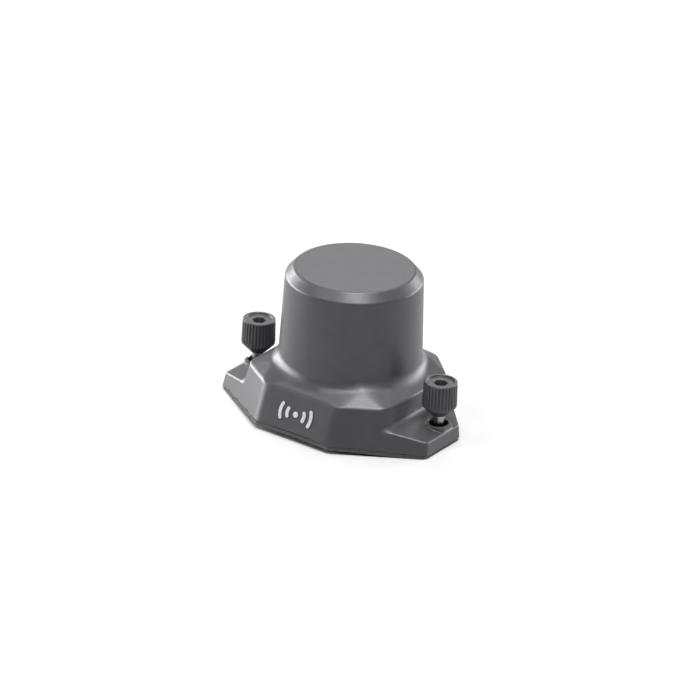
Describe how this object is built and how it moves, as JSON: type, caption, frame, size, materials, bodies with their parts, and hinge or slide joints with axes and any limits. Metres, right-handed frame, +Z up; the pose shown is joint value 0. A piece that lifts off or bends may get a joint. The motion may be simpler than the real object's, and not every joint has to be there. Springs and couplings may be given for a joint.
{
  "type": "gnss receiver",
  "caption": "Aircraft-mounted GNSS receiver module: octagonal base with two ears, knurled captive thumbscrews and a conical antenna turret, plug underneath.",
  "frame": {"origin": "on the turret axis in the plane of the feet", "axes": "+X to the right ear, -Y to the front face with the emblem, +Z up along the turret axis"},
  "size_m": [0.0662, 0.0502, 0.0402],
  "materials": {
    "housing": "fine moulded texture, dark grey",
    "cover": "fine moulded texture, near black",
    "emblem": "satin silver foil",
    "rubber": "matt black",
    "steel": "plain",
    "bright_steel": "polished",
    "knob": "knurled, dark grey",
    "insulator": "black",
    "gold": "plated",
    "board": "solder mask",
    "chip": "moulded",
    "tin": "tinned",
    "copper": "copper foil",
    "former": "natural",
    "lead": "jacket"
  },
  "bodies": {
    "housing": {"upper_housing": "housing", "bottom_cover": "cover", "front_emblem": "emblem", "housing_seal": "rubber", "cover_screws": "steel", "left_o_ring": "rubber", "right_o_ring": "rubber", "plug_shell": "bright_steel", "plug_insulator": "insulator", "plug_contacts": "gold", "plug_seal": "rubber", "plug_board": "board", "board_connector": "insulator", "main_board": "board", "gnss_chip": "chip", "rf_shield_can": "tin", "oscillator": "tin", "board_components": "chip", "antenna_standoffs": "gold", "ground_plate": "copper", "antenna_feed_board": "board", "antenna_screws": "steel", "antenna_former": "former", "helix_elements": "copper", "antenna_cap": "board", "antenna_pad": "rubber", "coax_connector": "gold", "coax_lead": "lead"},
    "left_clip": {"left_retaining_clip": "steel"},
    "left_thumbscrew": {"left_knob": "knob", "left_screw": "bright_steel"},
    "right_clip": {"right_retaining_clip": "steel"},
    "right_thumbscrew": {"right_knob": "knob", "right_screw": "bright_steel"}
  },
  "joints": [
    {"name": "left_screw_travel", "type": "slide", "parent": "housing", "child": "left_clip", "axis": [0, 0, 1], "range_m": [-0.002, 0]},
    {"name": "left_screw_turn", "type": "hinge", "parent": "left_clip", "child": "left_thumbscrew", "pos_m": [-0.02862, -0.0008, 0.012], "axis": [0, 0, 1], "continuous": true},
    {"name": "right_screw_travel", "type": "slide", "parent": "housing", "child": "right_clip", "axis": [0, 0, 1], "range_m": [-0.002, 0]},
    {"name": "right_screw_turn", "type": "hinge", "parent": "right_clip", "child": "right_thumbscrew", "pos_m": [0.02862, -0.0008, 0.012], "axis": [0, 0, 1], "continuous": true}
  ]
}
